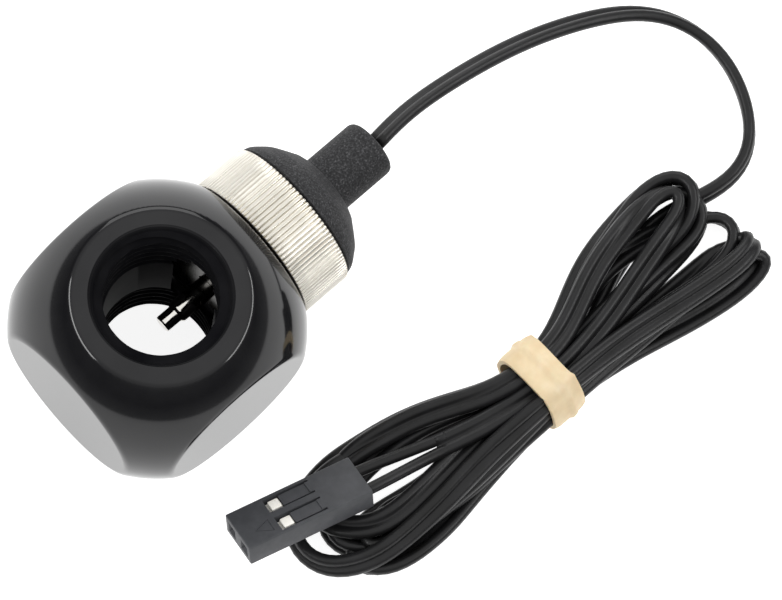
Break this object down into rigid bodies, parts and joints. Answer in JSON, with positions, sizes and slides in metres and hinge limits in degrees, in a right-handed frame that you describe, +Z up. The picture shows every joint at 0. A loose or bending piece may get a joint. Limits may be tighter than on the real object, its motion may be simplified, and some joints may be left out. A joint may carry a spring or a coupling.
{
  "type": "inline coolant temperature sensor",
  "caption": "Rounded cube port block with a vertical through bore and a screwed-in side probe, on a flat twin cable that is coiled, banded and ends in a small socket connector.",
  "frame": {"origin": "centre of the bottom of the bounding box of the block and the sensor, without the free cable", "axes": "+X along the sensor's axis, out of the block towards the cable; +Z up the through bore; the block stands on z = 0"},
  "size_m": [0.0786, 0.0468, 0.024],
  "materials": {
    "block_coat": "gloss",
    "nickel_plated_brass": "satin",
    "seal_rubber": "satin",
    "polished_steel": "polished",
    "bead_glass": "gloss",
    "lead_metal": "satin",
    "solder": "satin",
    "epoxy": "gloss",
    "boot_rubber": "matte",
    "cable_skin": "satin",
    "band_rubber": "matte",
    "housing_plastic": "satin",
    "contact_plating": "satin"
  },
  "bodies": {
    "block": {"port_block": "block_coat"},
    "cable": {"cable_lead": "cable_skin", "cable_hank": "cable_skin", "cable_tail": "cable_skin", "wire_a": "cable_skin", "wire_b": "cable_skin", "connector_housing": "housing_plastic", "crimp_contact_a": "contact_plating", "crimp_contact_b": "contact_plating", "elastic_band": "band_rubber"},
    "sensor": {"sensor_body": "nickel_plated_brass", "sealing_ring": "seal_rubber", "probe_tube": "polished_steel", "thermistor_bead": "bead_glass", "thermistor_lead_a": "lead_metal", "thermistor_lead_b": "lead_metal", "solder_joint_a": "solder", "solder_joint_b": "solder", "potting_fill": "epoxy", "cable_boot": "boot_rubber", "cable_entry": "cable_skin"}
  },
  "joints": [
    {"name": "sensor_travel", "type": "slide", "parent": "block", "child": "cable", "axis": [1, 0, 0], "range_m": [0, 0.0054]},
    {"name": "sensor_unscrew", "type": "hinge", "parent": "cable", "child": "sensor", "pos_m": [0, 0, 0.012], "axis": [1, 0, 0], "range_deg": [0, 1440]}
  ],
  "couplings": [
    {"joint": "sensor_travel", "follows": "sensor_unscrew", "m_per_rad": 0.00021279}
  ]
}
